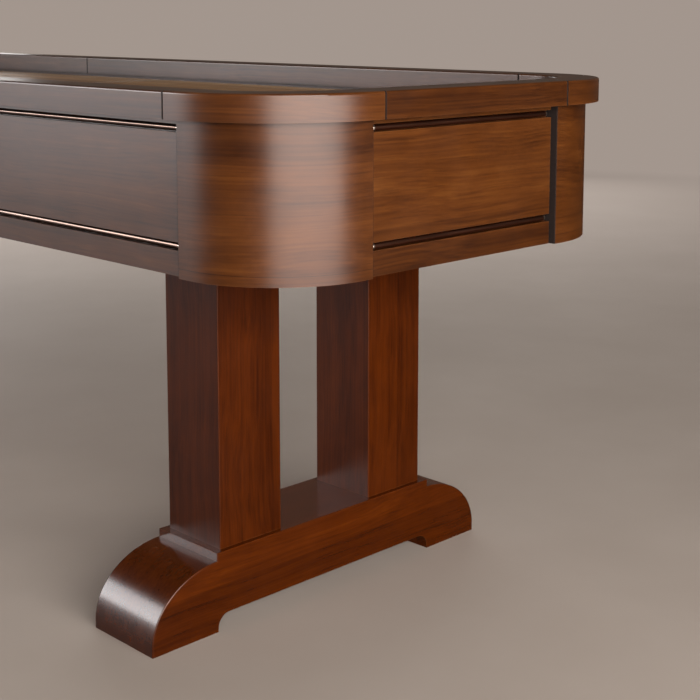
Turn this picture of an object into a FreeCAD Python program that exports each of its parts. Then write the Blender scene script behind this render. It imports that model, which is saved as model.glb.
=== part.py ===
"""Shuffleboard table: rounded cabinet on two trestle pedestals, playfield between gutters.

Frame: millimetres, +Z up, +X along the table, +Y across it. The origin is on the floor,
under the middle of the cabinet. "Right" is +X, "left" is -X, "front" is -Y, "back" is +Y.
"""
import FreeCAD, Part
import math
import os
import re

import Sketcher

Vector = FreeCAD.Vector
Rotation = FreeCAD.Rotation

# ---------------------------------------------------------------- driving dimensions
DIMENSIONS = {
    # overall
    "overall_length": 2800,
    "overall_width": 762,
    "overall_height": 787,
    # top rail
    "rail_overhang": 19,
    "rail_thickness": 35,
    "rail_width": 61,
    "rail_round": 3,
    "rail_joint_gap": 1.4,
    "rail_joint_inset": 175,
    # cabinet
    "cabinet_bottom": 550,
    "column_radius": 155,
    "column_edge_inset": 174,
    "column_round": 1.5,
    "apron_recess": 9.5,
    "apron_thickness": 22,
    "apron_end_gap": 2,
    # accent grooves and rods
    "groove_tall": 10.5,
    "groove_depth": 9,
    "upper_groove_drop": 7.7,
    "lower_groove_rise": 33.1,
    "rod_radius": 4.2,
    "rod_end_gap": 5,
    # inside the cabinet
    "ledger_tall": 28,
    "ledger_thickness": 22,
    "ledger_bottom": 560,
    "beam_tall": 62,
    "beam_thickness": 45,
    "beam_spacing": 620,
    "mount_board_width": 200,
    "floor_thickness": 12,
    "floor_inner_x": 1100,
    "floor_inner_y": 214,
    "carpet_thickness": 3,
    "lining_thickness": 3,
    "lining_tall": 80,
    # playfield
    "playfield_length": 2540,
    "playfield_width": 508,
    "playfield_thickness": 45,
    "playfield_drop": 35,
    "playfield_round": 2,
    "cradle_inset": 12,
    "cradle_thickness": 18,
    # climatic adjusters
    "adjuster_offset": 310,
    "bracket_span": 120,
    "bracket_width": 60,
    "bracket_flange": 50,
    "bracket_thickness": 5,
    "adjuster_drop": 30,
    "stud_radius": 6,
    "stud_inner_end": 20,
    "stud_outer_end": 138,
    "sleeve_half": 60,
    "sleeve_flats": 24,
    "adjuster_nut_flats": 19,
    "adjuster_nut_tall": 10,
    "running_clearance": 0.06,
    "screw_radius": 2.5,
    "screw_head_radius": 5,
    "screw_head_tall": 3,
    "screw_bite": 25,
    # pedestals
    "pedestal_inset": 344.5,
    "base_width": 138,
    "base_length": 679,
    "base_top": 118,
    "base_step": 12,
    "toe_run": 116.5,
    "toe_rise": 94,
    "pad_length": 117,
    "arch_rise": 25.5,
    "arch_radius": 20,
    "base_round": 1.5,
    "post_depth": 119,
    "post_width": 117,
    "post_offset": 151.5,
    "post_round": 1.2,
    "cleat_bottom": 560,
    "cleat_thickness": 28,
    "cleat_width": 180,
    "cleat_length": 480,
    # fasteners
    "tie_rod_radius": 5,
    "tie_rod_hole": 6,
    "tie_rod_pocket": 14,
    "tie_rod_pocket_deep": 17,
    "tie_nut_flats": 17,
    "tie_nut_tall": 8,
    "tie_washer_radius": 12,
    "tie_washer_tall": 2,
    "bolt_radius": 4,
    "bolt_hole": 4.5,
    "bolt_bite": 42,
    "bolt_head_flats": 13,
    "bolt_head_tall": 5.5,
    "bolt_pitch_x": 140,
    "bolt_pitch_y": 430,
    # levelers
    "leveler_offset": 281,
    "glide_radius": 15,
    "glide_tall": 6,
    "glide_clear": 0.5,
    "glide_recess_radius": 17,
    "glide_recess_deep": 11,
    "glide_neck_radius": 8.5,
    "glide_neck_tall": 3,
    "stem_radius": 5,
    "stem_bottom": 3.7,
    "stem_top": 62,
    "insert_radius": 9,
    "insert_tall": 22,
}

ENDS = {"left": -1, "right": 1}
SIDES = {"front": -1, "back": 1}

doc = FreeCAD.newDocument("shuffleboard_table")
sheet = doc.addObject("Spreadsheet::Sheet", "dims")
for row, (alias, number) in enumerate(DIMENSIONS.items(), start=1):
    sheet.set("A%d" % row, alias)
    sheet.set("B%d" % row, str(number))
    sheet.setAlias("B%d" % row, alias)

# Places worked out once from the driving dimensions.
DERIVED = {
    "column_plane_x": "overall_length / 2 - rail_overhang",
    "column_plane_y": "overall_width / 2 - rail_overhang",
    "curve_centre_x": "column_plane_x - column_radius",
    "curve_centre_y": "column_plane_y - column_radius",
    "wall_thickness": "apron_recess + apron_thickness",
    "wall_inner_x": "column_plane_x - wall_thickness",
    "wall_inner_y": "column_plane_y - wall_thickness",
    "rail_bottom": "overall_height - rail_thickness",
    "beam_bottom": "ledger_bottom + ledger_tall",
    "floor_bottom": "beam_bottom + beam_tall",
    "floor_top": "floor_bottom + floor_thickness",
    "playfield_top": "overall_height - playfield_drop",
    "playfield_bottom": "playfield_top - playfield_thickness",
    "pedestal_x": "column_plane_x - pedestal_inset",
    "adjuster_z": "playfield_bottom - adjuster_drop",
    "cleat_top": "cleat_bottom + cleat_thickness",
}
for row, (alias, formula) in enumerate(DERIVED.items(), start=len(DIMENSIONS) + 2):
    sheet.set("A%d" % row, alias)
    sheet.set("B%d" % row, "=" + formula)
    sheet.setAlias("B%d" % row, alias)
doc.recompute()

ALIASES = re.compile(r"\b(" + "|".join(list(DIMENSIONS) + list(DERIVED)) + r")\b")


def linked(formula):
    """Write a formula of sheet aliases as an expression that another object can hold."""
    return ALIASES.sub(r"dims.\1", str(formula))


def number(formula):
    """Work a formula of sheet aliases out to a plain number."""
    result = sheet.evalExpression(linked(formula))
    return float(getattr(result, "Value", result))


def bind(item, **formulas):
    """Bind an object's properties to formulas of sheet aliases."""
    for name, formula in formulas.items():
        item.setExpression(name, linked(formula))


def place(item, x=0, y=0, z=0, rotation=None):
    """Place an object at a formula for each coordinate, turned by an optional rotation."""
    item.Placement = FreeCAD.Placement(Vector(), rotation or Rotation())
    for axis, formula in zip("xyz", (x, y, z)):
        item.setExpression("Placement.Base." + axis, linked(formula))


# ---------------------------------------------------------------- Part building blocks
def box(label, x, y, z, length, width, tall):
    """A board centred on x and y, standing on z."""
    item = doc.addObject("Part::Box", label)
    bind(item, Length=length, Width=width, Height=tall)
    place(item, "%s - (%s) / 2" % (x, length), "%s - (%s) / 2" % (y, width), z)
    return item


def cylinder(label, x, y, z, radius, tall, rotation=None, angle=360):
    """A round bar that starts at x, y, z and runs along its turned Z axis."""
    item = doc.addObject("Part::Cylinder", label)
    bind(item, Radius=radius, Height=tall)
    item.Angle = angle
    place(item, x, y, z, rotation)
    return item


def hexagon(label, x, y, z, flats, tall, rotation=None):
    """A hexagonal prism, given across its flats."""
    item = doc.addObject("Part::Prism", label)
    item.Polygon = 6
    bind(item, Circumradius="(%s) / 2 / cos(30)" % flats, Height=tall)
    place(item, x, y, z, rotation)
    return item


def joined(label, pieces):
    """Fuse pieces into one solid."""
    item = doc.addObject("Part::MultiFuse", label)
    item.Shapes = pieces
    return item


def grouped(label, pieces):
    """Keep pieces as separate solids in one sub-part."""
    item = doc.addObject("Part::Compound", label)
    item.Links = pieces
    return item


def cut(label, base, tools):
    """Cut tools out of a base."""
    item = doc.addObject("Part::Cut", label)
    item.Base = base
    item.Tool = tools[0] if len(tools) == 1 else joined(label + "_tools", tools)
    return item


def rounded(label, base, radius, chosen):
    """Round the edges of base for which chosen(edge) is true."""
    doc.recompute()
    edges = enumerate(base.Shape.Edges, start=1)
    size = number(radius)
    item = doc.addObject("Part::Fillet", label)
    item.Base = base
    item.Edges = [(index, size, size) for index, edge in edges if chosen(edge)]
    return item


def direction(edge):
    """The unit direction from one end of an edge to the other, without its sign."""
    first, last = edge.Vertexes[0].Point, edge.Vertexes[-1].Point
    along = (last - first).normalize()
    return tuple(round(abs(part), 6) for part in along)


def upright(edge):
    """True for a vertical edge."""
    return direction(edge) == (0, 0, 1)


# ---------------------------------------------------------------- PartDesign building blocks
def origin_plane(body, role):
    """One of a body's own origin planes, by its role."""
    return next(item for item in body.Origin.OriginFeatures if item.Role == role)


def new_sketch(body, role):
    """A sketch on one of the body's own origin planes."""
    sketch = body.newObject("Sketcher::SketchObject", body.Name + "_profile")
    sketch.AttachmentSupport = [(origin_plane(body, role), "")]
    sketch.MapMode = "FlatFace"
    return sketch


def polygon(sketch, corners):
    """Draw a closed outline whose corners are pairs of formulas, each bound to the sheet."""
    points = [Vector(number(across), number(up), 0) for across, up in corners]
    count = len(points)
    for index in range(count):
        sketch.addGeometry(Part.LineSegment(points[index], points[(index + 1) % count]))
    for index in range(count):
        sketch.addConstraint(Sketcher.Constraint("Coincident", index, 2, (index + 1) % count, 1))
    for index, pair in enumerate(corners):
        for kind, formula, reading in zip(("DistanceX", "DistanceY"), pair, points[index]):
            rule = sketch.addConstraint(Sketcher.Constraint(kind, -1, 1, index, 1, reading))
            sketch.setExpression("Constraints[%d]" % rule, linked(formula))


def corner_band(sketch, outer, inner, straight):
    """Draw a quarter ring about the sketch origin, each end run on straight."""
    big, small, run = number(outer), number(inner), number(straight)
    centre, normal, quarter = Vector(), Vector(0, 0, 1), math.pi / 2

    def line(x1, y1, x2, y2):
        return sketch.addGeometry(Part.LineSegment(Vector(x1, y1, 0), Vector(x2, y2, 0)))

    def arc(radius):
        return sketch.addGeometry(Part.ArcOfCircle(Part.Circle(centre, normal, radius), 0, quarter))

    def rule(*terms):
        return sketch.addConstraint(Sketcher.Constraint(*terms))

    outer_arc, inner_arc = arc(big), arc(small)
    outer_x, outer_y = line(big, 0, big, -run), line(0, big, -run, big)
    inner_x, inner_y = line(small, 0, small, -run), line(0, small, -run, small)
    end_x, end_y = line(big, -run, small, -run), line(-run, big, -run, small)
    for curve, low, high in ((outer_arc, outer_x, outer_y), (inner_arc, inner_x, inner_y)):
        rule("Coincident", curve, 3, -1, 1)
        rule("Tangent", curve, 1, low, 1)
        rule("Tangent", curve, 2, high, 1)
        rule("Vertical", low)
        rule("Horizontal", high)
    for end, first, second in ((end_x, outer_x, inner_x), (end_y, outer_y, inner_y)):
        rule("Coincident", end, 1, first, 2)
        rule("Coincident", end, 2, second, 2)
    rule("Horizontal", end_x)
    rule("Vertical", end_y)
    sizes = (
        (("Radius", outer_arc, big), outer),
        (("Radius", inner_arc, small), inner),
        (("DistanceY", outer_x, 2, -1, 1, run), straight),
        (("DistanceX", outer_y, 2, -1, 1, run), straight),
    )
    for terms, formula in sizes:
        sketch.setExpression("Constraints[%d]" % rule(*terms), linked(formula))


def pad(body, sketch, length, both_ways=False):
    """Pad a sketch, up from its plane or the same amount each way."""
    feature = body.newObject("PartDesign::Pad", body.Name + "_pad")
    feature.Profile = sketch
    bind(feature, Length=length)
    if both_ways:
        feature.SideType = "Symmetric"
    sketch.Visibility = False
    return feature


def soften(body, base, radius, chosen):
    """Round the edges of a body's last feature for which chosen(edge) is true."""
    doc.recompute()
    edges = enumerate(base.Shape.Edges, start=1)
    feature = body.newObject("PartDesign::Fillet", body.Name + "_round")
    feature.Base = (base, ["Edge%d" % index for index, edge in edges if chosen(edge)])
    bind(feature, Radius=radius)
    return feature


def new_body(label):
    return doc.addObject("PartDesign::Body", label)


PARTS = {}


def keep(label, item):
    """Register a finished sub-part under the name that its file takes."""
    item.Label = label
    PARTS[label] = item
    return item


# ---------------------------------------------------------------- cabinet walls
CORNER_TURNS = {
    ("right", "back"): 0,
    ("left", "back"): 90,
    ("left", "front"): 180,
    ("right", "front"): 270,
}


def about_z(degrees):
    return Rotation(Vector(0, 0, 1), degrees)


def at_level(edge, low, high):
    """True when both ends of an edge lie between two heights."""
    return all(low <= vertex.Z <= high for vertex in edge.Vertexes)


def corner_piece(label, end, side, outer, inner, straight, low, tall, radius, chosen):
    """A curved cabinet corner: a quarter ring padded up and turned into its corner."""
    body = new_body(label)
    sketch = new_sketch(body, "XY_Plane")
    corner_band(sketch, outer, inner, straight)
    solid = pad(body, sketch, tall)
    soften(body, solid, radius, chosen)
    turn = about_z(CORNER_TURNS[end, side])
    x = "%d * curve_centre_x" % ENDS[end]
    y = "%d * curve_centre_y" % SIDES[side]
    place(body, x, y, low, turn)
    return keep(label, body)


def corner_columns():
    """Bent-laminated columns at the four corners, flush inside with the aprons."""
    def outside_end(edge):
        corner = edge.Vertexes[0].Point[:2]
        return upright(edge) and max(corner) > number("column_radius") - 1 and min(corner) < -1

    for end, side in CORNER_TURNS:
        corner_piece(
            "corner_column_%s_%s" % (side, end), end, side,
            outer="column_radius", inner="column_radius - wall_thickness",
            straight="column_edge_inset - column_radius",
            low="cabinet_bottom", tall="rail_bottom - cabinet_bottom",
            radius="column_round",
            chosen=outside_end,
        )


def corner_rails():
    """Curved lengths of the top rail, over the corner columns."""
    top = number("rail_thickness")
    for end, side in CORNER_TURNS:
        corner_piece(
            "corner_rail_%s_%s" % (side, end), end, side,
            outer="column_radius + rail_overhang",
            inner="column_radius + rail_overhang - rail_width",
            straight="rail_joint_inset - column_radius - rail_joint_gap / 2",
            low="rail_bottom", tall="rail_thickness",
            radius="rail_round",
            chosen=lambda edge: at_level(edge, top - 1, top + 1) and not crosses_rail(edge),
        )


def crosses_rail(edge):
    """True for the short straight edge at the butt end of a rail."""
    return abs(edge.Length - number("rail_width")) < 1


def straight_rail(label, x, y, length, along_y):
    """A straight length of top rail: its section, padded each way from its middle."""
    body = new_body(label)
    sketch = new_sketch(body, "XZ_Plane")
    polygon(sketch, [
        ("-rail_width / 2", "0"),
        ("rail_width / 2", "0"),
        ("rail_width / 2", "rail_thickness"),
        ("-rail_width / 2", "rail_thickness"),
    ])
    solid = pad(body, sketch, length, both_ways=True)
    top = number("rail_thickness")
    soften(body, solid, "rail_round",
           lambda edge: at_level(edge, top - 1, top + 1) and not crosses_rail(edge))
    place(body, x, y, "rail_bottom", about_z(0 if along_y else 90))
    keep(label, body)


def straight_rails():
    """Two lengths of rail along each side, meeting at mid-length, and one across each end."""
    side_run = "(column_plane_x - rail_joint_inset)"
    for side, across in SIDES.items():
        y = "%d * (overall_width - rail_width) / 2" % across
        for end, along in ENDS.items():
            x = "%d * %s / 2" % (along, side_run)
            run = side_run + " - rail_joint_gap"
            straight_rail("side_rail_%s_%s" % (side, end), x, y, run, False)
    for end, along in ENDS.items():
        x = "%d * (overall_length - rail_width) / 2" % along
        run = "2 * (column_plane_y - rail_joint_inset) - rail_joint_gap"
        straight_rail("end_rail_%s" % end, x, "0", run, True)


def apron(label, x, y, length, turn):
    """A recessed wall panel with a horizontal groove near its top and one near its bottom.

    The section is drawn with its outer face on the local -X side, standing on z = 0.
    """
    body = new_body(label)
    sketch = new_sketch(body, "XZ_Plane")
    tall = "(rail_bottom - cabinet_bottom)"
    lower = "lower_groove_rise"
    upper = "(%s - upper_groove_drop)" % tall
    polygon(sketch, [
        ("0", "0"),
        ("apron_thickness", "0"),
        ("apron_thickness", tall),
        ("0", tall),
        ("0", upper),
        ("groove_depth", upper),
        ("groove_depth", upper + " - groove_tall"),
        ("0", upper + " - groove_tall"),
        ("0", lower + " + groove_tall"),
        ("groove_depth", lower + " + groove_tall"),
        ("groove_depth", lower),
        ("0", lower),
    ])
    pad(body, sketch, length, both_ways=True)
    place(body, x, y, "cabinet_bottom", about_z(turn))
    keep(label, body)


def accent_rods(label, x, y, length, turn):
    """The upper and lower round rods that lie in one apron's grooves, with rounded ends."""
    rods = []
    lower = "cabinet_bottom + lower_groove_rise + groove_tall / 2"
    upper = "rail_bottom - upper_groove_drop - groove_tall / 2"
    for level, z in (("lower", lower), ("upper", upper)):
        reach = "((%s) / 2 - rod_radius)" % length
        name = "%s_%s" % (label, level)
        core = cylinder(name + "_core", "0", "-" + reach, "0", "rod_radius", "2 * " + reach,
                        Rotation(Vector(1, 0, 0), -90))
        tips = []
        for sign in (-1, 1):
            tip = doc.addObject("Part::Sphere", "%s_tip_%d" % (name, len(tips)))
            bind(tip, Radius="rod_radius")
            place(tip, "0", "%d * %s" % (sign, reach), "0")
            tips.append(tip)
        rod = joined(name, [core] + tips)
        place(rod, x, y, z, about_z(turn))
        rods.append(rod)
    keep(label, grouped(label, rods))


def aprons_and_rods():
    """Side and end aprons between the columns, each with its pair of accent rods."""
    rod_in = "(groove_depth - rod_radius)"
    for side, across in SIDES.items():
        length = "2 * (column_plane_x - column_edge_inset - apron_end_gap)"
        face = "%d * (column_plane_y - apron_recess)" % across
        turn = -90 * across
        apron("side_apron_%s" % side, "0", face, length, turn)
        rod_y = "%d * (column_plane_y - apron_recess - %s)" % (across, rod_in)
        accent_rods("accent_rods_%s" % side, "0", rod_y, length + " - 2 * rod_end_gap", turn)
    for end, along in ENDS.items():
        length = "2 * (column_plane_y - column_edge_inset - apron_end_gap)"
        face = "%d * (column_plane_x - apron_recess)" % along
        turn = 90 + 90 * along
        apron("end_apron_%s" % end, face, "0", length, turn)
        rod_x = "%d * (column_plane_x - apron_recess - %s)" % (along, rod_in)
        accent_rods("accent_rods_%s" % end, rod_x, "0", length + " - 2 * rod_end_gap", turn)


# ---------------------------------------------------------------- inside the cabinet
def rounded_slab(label, half_x, half_y, radius, low, tall):
    """A flat slab centred on the table with four rounded corners."""
    slab = box(label + "_slab", "0", "0", low, "2 * (%s)" % half_x, "2 * (%s)" % half_y, tall)
    return rounded(label + "_rounded", slab, radius, upright)


def ledgers():
    """Strips along the walls that carry the cross beams and the ends of the gutter floor."""
    strips = []
    for side, across in SIDES.items():
        y = "%d * (wall_inner_y - ledger_thickness / 2)" % across
        run = "2 * (column_plane_x - column_edge_inset)"
        strips.append(box("ledger_" + side, "0", y, "ledger_bottom", run, "ledger_thickness",
                          "ledger_tall"))
    for end, along in ENDS.items():
        x = "%d * (wall_inner_x - ledger_thickness / 2)" % along
        run = "2 * (column_plane_y - column_edge_inset)"
        low = "floor_bottom - ledger_tall"
        strips.append(box("ledger_" + end, x, "0", low, "ledger_thickness", run, "ledger_tall"))
    keep("wall_ledgers", grouped("wall_ledgers", strips))


def cross_beams():
    """Three beams between the side walls, and a wide mounting board over each pedestal."""
    width = "2 * wall_inner_y"
    for name, step in (("left", -1), ("middle", 0), ("right", 1)):
        label = "cross_beam_" + name
        x = "%d * beam_spacing" % step
        keep(label, box(label, x, "0", "beam_bottom", "beam_thickness", width, "beam_tall"))
    for end, along in ENDS.items():
        x = "%d * pedestal_x" % along
        board = box("board_" + end, x, "0", "beam_bottom", "mount_board_width", width, "beam_tall")
        holes = [
            cylinder("board_hole_%s_%d" % (end, index), bx, by, "beam_bottom", "bolt_radius",
                     "bolt_bite + 2")
            for index, (bx, by) in enumerate(bolt_places(along))
        ]
        keep("mount_board_" + end, cut("mount_board_" + end, board, holes))


def corner_braces():
    """Quarter-round blocks under the floor that stiffen the inside of each corner column."""
    braces = []
    for (end, side), turn in CORNER_TURNS.items():
        x = "%d * curve_centre_x" % ENDS[end]
        y = "%d * curve_centre_y" % SIDES[side]
        braces.append(cylinder("brace_%s_%s" % (side, end), x, y, "floor_bottom - ledger_tall",
                               "column_radius - wall_thickness", "ledger_tall", about_z(turn),
                               angle=90))
    keep("corner_braces", grouped("corner_braces", braces))


def gutter_floor():
    """Plywood floor under the gutters, in two halves that meet over the middle beam."""
    inner_radius = "column_radius - wall_thickness"
    for end, along in ENDS.items():
        label = "gutter_floor_" + end
        slab = rounded_slab(label, "wall_inner_x", "wall_inner_y", inner_radius, "floor_bottom",
                            "floor_thickness")
        low = "floor_bottom - 1"
        tall = "floor_thickness + 2"
        opening = box(label + "_opening", "0", "0", low, "2 * floor_inner_x",
                      "2 * floor_inner_y", tall)
        other = box(label + "_other_half", "%d * overall_length / 2" % -along, "0", low,
                    "overall_length", "overall_width", tall)
        keep(label, cut(label, slab, [opening, other]))


def gutter_linings():
    """Carpet on the gutter floor, and the same carpet up the inside of the walls."""
    radius = "column_radius - wall_thickness"
    carpet = rounded_slab("carpet", "wall_inner_x", "wall_inner_y", radius, "floor_top",
                          "carpet_thickness")
    cradle_x = "playfield_length - 2 * cradle_inset"
    cradle_y = "playfield_width - 2 * cradle_inset"
    middle = box("carpet_opening", "0", "0", "floor_top - 1", cradle_x, cradle_y,
                 "carpet_thickness + 2")
    keep("gutter_carpet", cut("gutter_carpet", carpet, [middle]))
    low = "floor_top + carpet_thickness"
    outside = rounded_slab("lining", "wall_inner_x", "wall_inner_y", radius, low, "lining_tall")
    inside = rounded_slab("lining_inside", "wall_inner_x - lining_thickness",
                          "wall_inner_y - lining_thickness", radius + " - lining_thickness",
                          low + " - 1", "lining_tall + 2")
    keep("wall_lining", cut("wall_lining", outside, [inside]))


def cradle():
    """The frame that the playfield's edges rest on, with cross risers over the beams."""
    low, tall = "floor_top", "playfield_bottom - floor_top"
    half_x = "(playfield_length / 2 - cradle_inset)"
    half_y = "(playfield_width / 2 - cradle_inset)"
    rails = []
    for side, across in SIDES.items():
        y = "%d * (%s - cradle_thickness / 2)" % (across, half_y)
        rails.append(box("cradle_" + side, "0", y, low, "2 * " + half_x, "cradle_thickness", tall))
    for end, along in ENDS.items():
        x = "%d * (%s - cradle_thickness / 2)" % (along, half_x)
        width = "2 * (%s - cradle_thickness)" % half_y
        rails.append(box("cradle_" + end, x, "0", low, "cradle_thickness", width, tall))
    keep("playfield_cradle", grouped("playfield_cradle", rails))
    places = ["-pedestal_x", "-beam_spacing", "0", "beam_spacing", "pedestal_x"]
    risers = [
        box("riser_%d" % index, x, "0", "floor_bottom", "beam_thickness", "2 * floor_inner_y - 1",
            "playfield_bottom - floor_bottom")
        for index, x in enumerate(places)
    ]
    keep("playfield_risers", grouped("playfield_risers", risers))


def playfield():
    """The laminated maple board, with pilot holes for the adjusters' screws."""
    board = box("playfield_board", "0", "0", "playfield_bottom", "playfield_length",
                "playfield_width", "playfield_thickness")
    top = number("playfield_top")
    eased = rounded("playfield_eased", board, "playfield_round",
                    lambda edge: at_level(edge, top - 1, top + 1))
    holes = [
        cylinder("pilot_%d" % index, x, y, "playfield_bottom", "screw_radius", "screw_bite")
        for index, (x, y) in enumerate(bracket_screws())
    ]
    keep("playfield", cut("playfield", eased, holes))


# ---------------------------------------------------------------- climatic adjusters
TOWARDS_BACK = Rotation(Vector(1, 0, 0), -90)


def screws_of_bracket(along, across):
    """The places of the four screws of one bracket, under the playfield."""
    return [
        ("%d * adjuster_offset + %d * bracket_width / 4" % (along, step),
         "%d * (bracket_span + bracket_flange / 2) + %d * bracket_flange / 4" % (across, row))
        for step in (-1, 1) for row in (-1, 1)
    ]


def bracket_screws():
    """The places of all the brackets' screws."""
    return [
        spot
        for along in ENDS.values() for across in SIDES.values()
        for spot in screws_of_bracket(along, across)
    ]


def adjuster_brackets(end, along):
    """Two steel angles screwed under the playfield, facing each other across it."""
    x = "%d * adjuster_offset" % along
    angles = []
    for side, across in SIDES.items():
        name = "angle_%s_%s" % (side, end)
        wall_y = "%d * (bracket_span + bracket_thickness / 2)" % across
        foot_y = "%d * (bracket_span + bracket_flange / 2)" % across
        drop = "(2 * adjuster_drop)"
        wall = box(name + "_wall", x, wall_y, "playfield_bottom - " + drop, "bracket_width",
                   "bracket_thickness", drop)
        foot = box(name + "_foot", x, foot_y, "playfield_bottom - bracket_thickness",
                   "bracket_width", "bracket_flange", "bracket_thickness")
        holes = [cylinder(name + "_stud_hole", x, wall_y + " - bracket_thickness", "adjuster_z",
                          "stud_radius", "2 * bracket_thickness", TOWARDS_BACK)]
        for index, (hole_x, hole_y) in enumerate(screws_of_bracket(along, across)):
            holes.append(cylinder("%s_hole_%d" % (name, index), hole_x, hole_y,
                                  "playfield_bottom - 2 * bracket_thickness", "screw_radius",
                                  "3 * bracket_thickness"))
        angles.append(cut(name, joined(name + "_blank", [wall, foot]), holes))
    keep("adjuster_brackets_" + end, grouped("adjuster_brackets_" + end, angles))


def adjuster_sleeve(end, along):
    """The hexagonal turnbuckle sleeve between the two studs; it turns about the studs' axis."""
    x = "%d * adjuster_offset" % along
    label = "adjuster_sleeve_" + end
    bar = hexagon(label + "_bar", x, "-sleeve_half", "adjuster_z", "sleeve_flats",
                  "2 * sleeve_half", TOWARDS_BACK)
    bore = cylinder(label + "_bore", x, "-sleeve_half - 1", "adjuster_z",
                    "stud_radius + running_clearance", "2 * sleeve_half + 2", TOWARDS_BACK)
    keep(label, cut(label, bar, [bore]))


def stud_and_nuts(name, x, across):
    """One threaded stud through its bracket, with a lock nut on each face of the bracket."""
    middle = "%d * (stud_inner_end + stud_outer_end) / 2" % across
    length = "(stud_outer_end - stud_inner_end)"
    pieces = [cylinder("stud_" + name, x, "%s - %s / 2" % (middle, length), "adjuster_z",
                       "stud_radius", length, TOWARDS_BACK)]
    bracket_wall = "%d * (bracket_span + bracket_thickness / 2)" % across
    lows = {
        "low": bracket_wall + " - bracket_thickness / 2 - adjuster_nut_tall",
        "high": bracket_wall + " + bracket_thickness / 2",
    }
    for level, y in lows.items():
        nut_name = "nut_%s_%s" % (name, level)
        blank = hexagon(nut_name + "_blank", x, y, "adjuster_z", "adjuster_nut_flats",
                        "adjuster_nut_tall", TOWARDS_BACK)
        hole = cylinder(nut_name + "_hole", x, y + " - 1", "adjuster_z", "stud_radius",
                        "adjuster_nut_tall + 2", TOWARDS_BACK)
        pieces.append(cut(nut_name, blank, [hole]))
    return pieces


def adjuster_fasteners():
    """Left- and right-hand studs with their lock nuts, and the bracket screws."""
    pieces = []
    for end, along in ENDS.items():
        for side, across in SIDES.items():
            pieces += stud_and_nuts("%s_%s" % (side, end), "%d * adjuster_offset" % along, across)
    flange_face = "playfield_bottom - bracket_thickness"
    for index, (x, y) in enumerate(bracket_screws()):
        head = cylinder("screw_head_%d" % index, x, y, flange_face + " - screw_head_tall",
                        "screw_head_radius", "screw_head_tall")
        shank = cylinder("screw_shank_%d" % index, x, y, flange_face, "screw_radius",
                         "bracket_thickness + screw_bite")
        pieces.append(joined("screw_%d" % index, [head, shank]))
    keep("adjuster_fasteners", grouped("adjuster_fasteners", pieces))


# ---------------------------------------------------------------- pedestals
ACROSS_UPWARDS = Rotation(Vector(1, 1, 1), 120)


def toe(label, x, across):
    """An elliptic bar across the trestle, whose outer upper quarter shapes one toe."""
    outline = doc.addObject("Part::Ellipse", label + "_outline")
    bind(outline, MajorRadius="toe_run", MinorRadius="toe_rise")
    root = "%d * (base_length / 2 - toe_run)" % across
    place(outline, x + " - base_width / 2", root, "base_top - base_step - toe_rise", ACROSS_UPWARDS)
    bar = doc.addObject("Part::Extrusion", label)
    bar.Base = outline
    bar.DirMode = "Normal"
    bar.Solid = True
    bind(bar, LengthFwd="base_width")
    return bar


def trestle_blank(label, x):
    """The trestle foot before boring: stepped top, elliptic toes and a low arch between pads."""
    middle = box(label + "_middle", x, "0", "0", "base_width", "base_length - 2 * toe_run",
                 "base_top")
    pads = box(label + "_pads", x, "0", "0", "base_width", "base_length",
               "base_top - base_step - toe_rise")
    toes = [toe("%s_toe_%s" % (label, side), x, across) for side, across in SIDES.items()]
    solid = joined(label + "_solid", [middle, pads] + toes)
    solid.Refine = True
    below = box(label + "_below", x, "0", "-toe_rise", "2 * base_width", "base_length", "toe_rise")
    opening = box(label + "_opening", x, "0", "-1", "2 * base_width",
                  "base_length - 2 * pad_length", "arch_rise + 1")
    arch = rounded(label + "_arch", opening, "arch_radius",
                   lambda edge: direction(edge) == (1, 0, 0) and edge.Vertexes[0].Z > 0)
    shaped = cut(label + "_shaped", solid, [below, arch])
    crown = number("arch_rise") + 1
    return rounded(label + "_eased", shaped, "base_round",
                   lambda edge: direction(edge) != (1, 0, 0) and edge.BoundBox.ZMax > crown)


def trestle_base(end, along):
    """Solid trestle foot with pockets for the tie rods below and recesses for the levelers."""
    label = "trestle_base_" + end
    x = "%d * pedestal_x" % along
    blank = trestle_blank(label + "_blank", x)
    tools = []
    for side, across in SIDES.items():
        name = "%s_%s" % (label, side)
        post_y = "%d * post_offset" % across
        foot_y = "%d * leveler_offset" % across
        tools += [
            cylinder(name + "_tie_hole", x, post_y, "0", "tie_rod_hole", "base_top + 1"),
            cylinder(name + "_tie_pocket", x, post_y, "0", "tie_rod_pocket",
                     "arch_rise + tie_rod_pocket_deep"),
            cylinder(name + "_recess", x, foot_y, "-1", "glide_recess_radius",
                     "glide_recess_deep + 1"),
            cylinder(name + "_insert_hole", x, foot_y, "0", "insert_radius",
                     "glide_recess_deep + insert_tall"),
            cylinder(name + "_stem_hole", x, foot_y, "0", "stem_radius + 1", "stem_top + 3"),
        ]
    keep(label, cut(label, blank, tools))


def posts(end, along):
    """Two square posts on each trestle, bored through for their tie rods."""
    x = "%d * pedestal_x" % along
    for side, across in SIDES.items():
        label = "post_%s_%s" % (side, end)
        y = "%d * post_offset" % across
        tall = "cleat_bottom - base_top"
        blank = box(label + "_blank", x, y, "base_top", "post_depth", "post_width", tall)
        eased = rounded(label + "_eased", blank, "post_round", upright)
        bore = cylinder(label + "_bore", x, y, "base_top - 1", "tie_rod_hole", tall + " + 2")
        keep(label, cut(label, eased, [bore]))


def bolt_places(along):
    """Where the four bolts of a pedestal's cleat go up into its mounting board."""
    return [
        ("%d * pedestal_x + %d * bolt_pitch_x / 2" % (along, step),
         "%d * bolt_pitch_y / 2" % across)
        for step in (-1, 1) for across in (-1, 1)
    ]


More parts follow.
